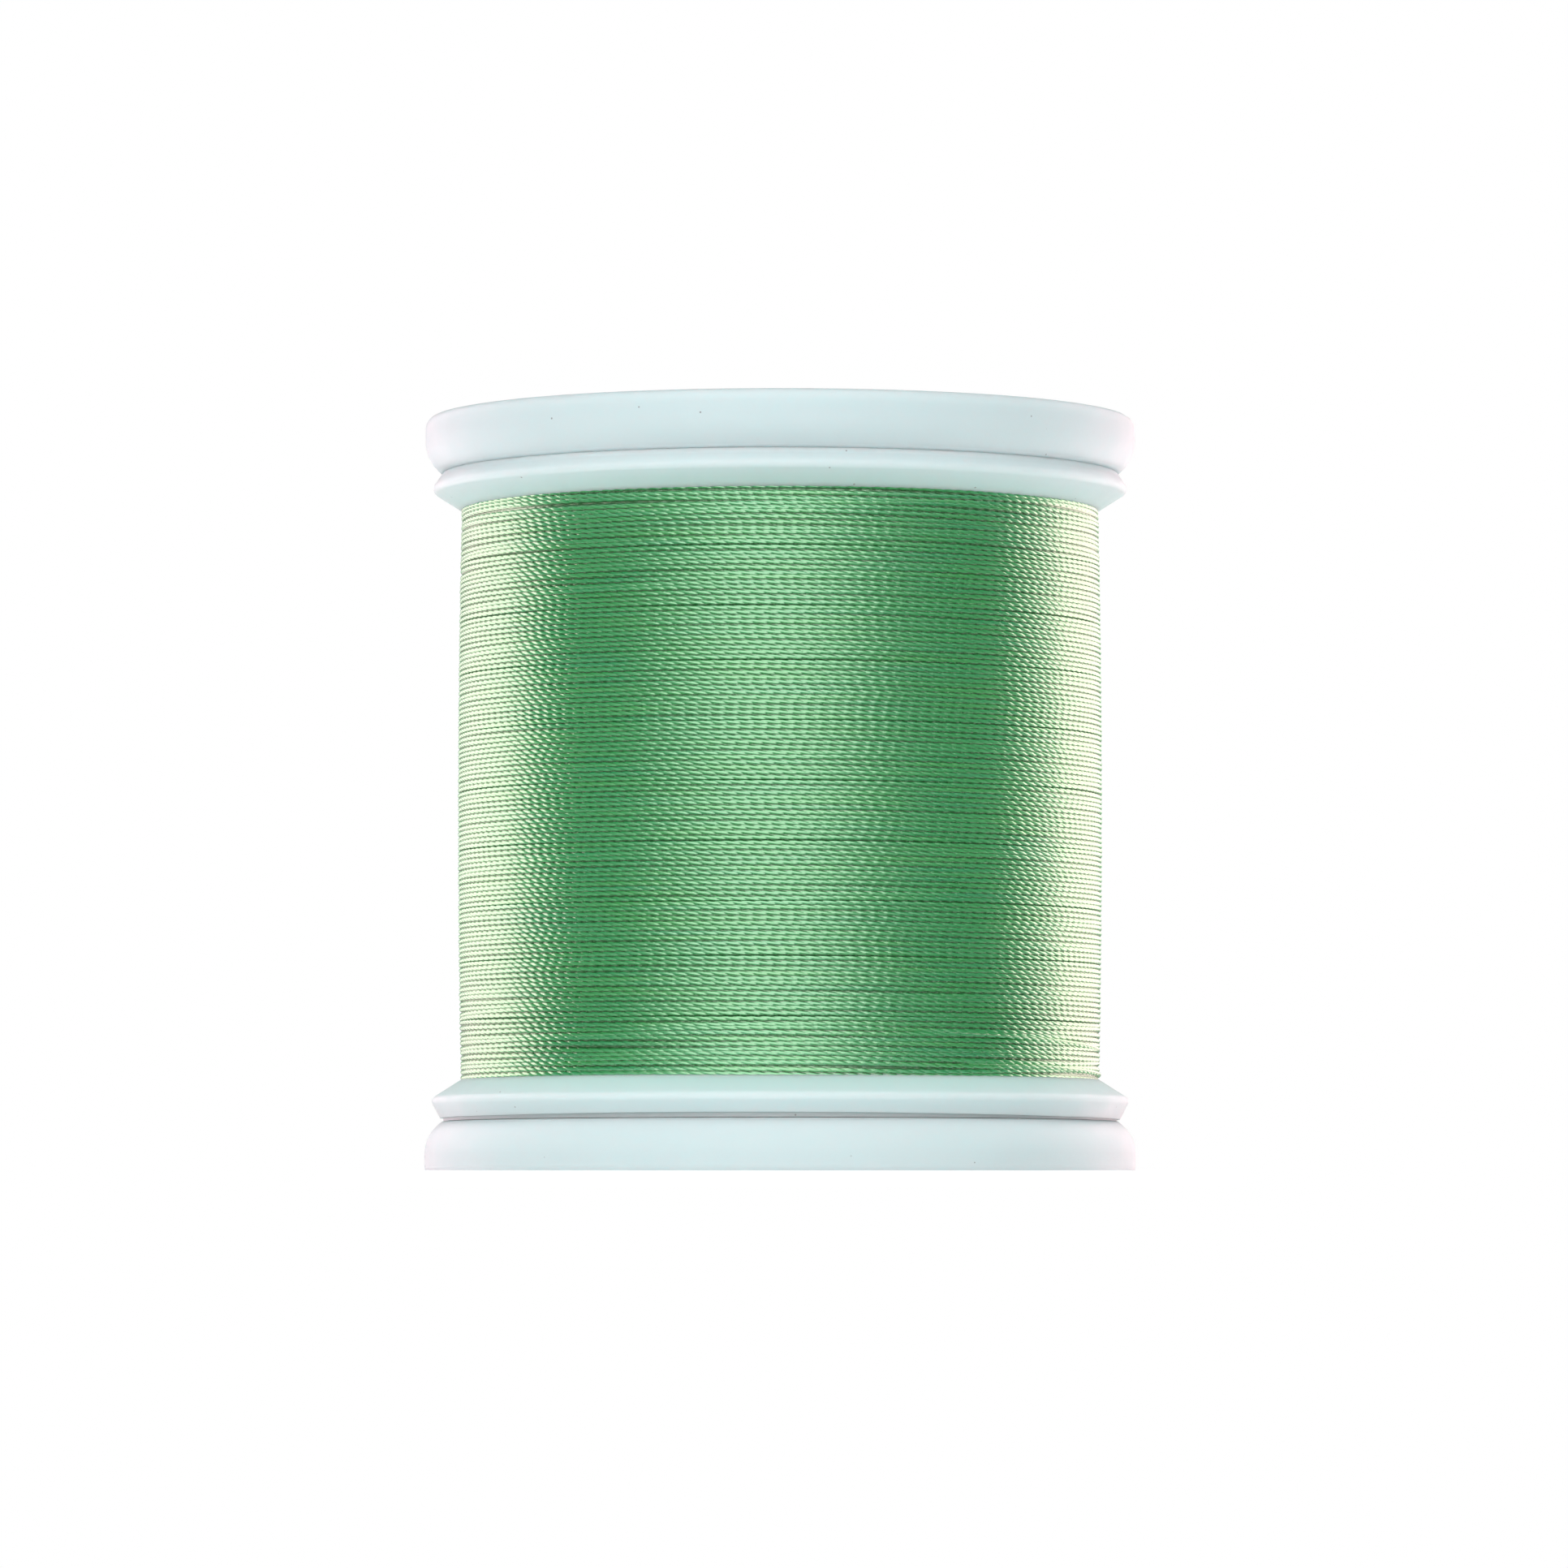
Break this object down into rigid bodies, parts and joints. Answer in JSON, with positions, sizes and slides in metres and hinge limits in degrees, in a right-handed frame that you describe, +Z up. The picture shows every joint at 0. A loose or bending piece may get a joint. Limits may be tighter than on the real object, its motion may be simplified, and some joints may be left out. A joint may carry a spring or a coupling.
{
  "type": "fishing line spool",
  "caption": "Snap spool of wound fishing line: a flanged bobbin between two round snap caps that pop open to lock the line's end.",
  "frame": {"origin": "centre of the lower cap's outer face, which the spool stands on", "axes": "+Z up along the spool's axis; +X to the right and -Y towards the viewer in the picture"},
  "size_m": [0.032, 0.032, 0.0343],
  "materials": {
    "spool_plastic": "milky white, slightly translucent, satin",
    "line": "glossy twisted green line",
    "label_paper": "uncoated white paper"
  },
  "bodies": {
    "lower_end": {"bottom_cap": "spool_plastic", "bottom_label": "label_paper"},
    "bobbin": {"spool_core": "spool_plastic", "line_package": "line", "line_turns": "line", "line_end": "line"},
    "upper_end": {"top_cap": "spool_plastic", "top_label": "label_paper"}
  },
  "joints": [
    {"name": "lower_snap", "type": "slide", "parent": "lower_end", "child": "bobbin", "axis": [0, 0, 1], "range_m": [0, 0.0018]},
    {"name": "upper_snap", "type": "slide", "parent": "bobbin", "child": "upper_end", "axis": [0, 0, 1], "range_m": [0, 0.00205]}
  ]
}
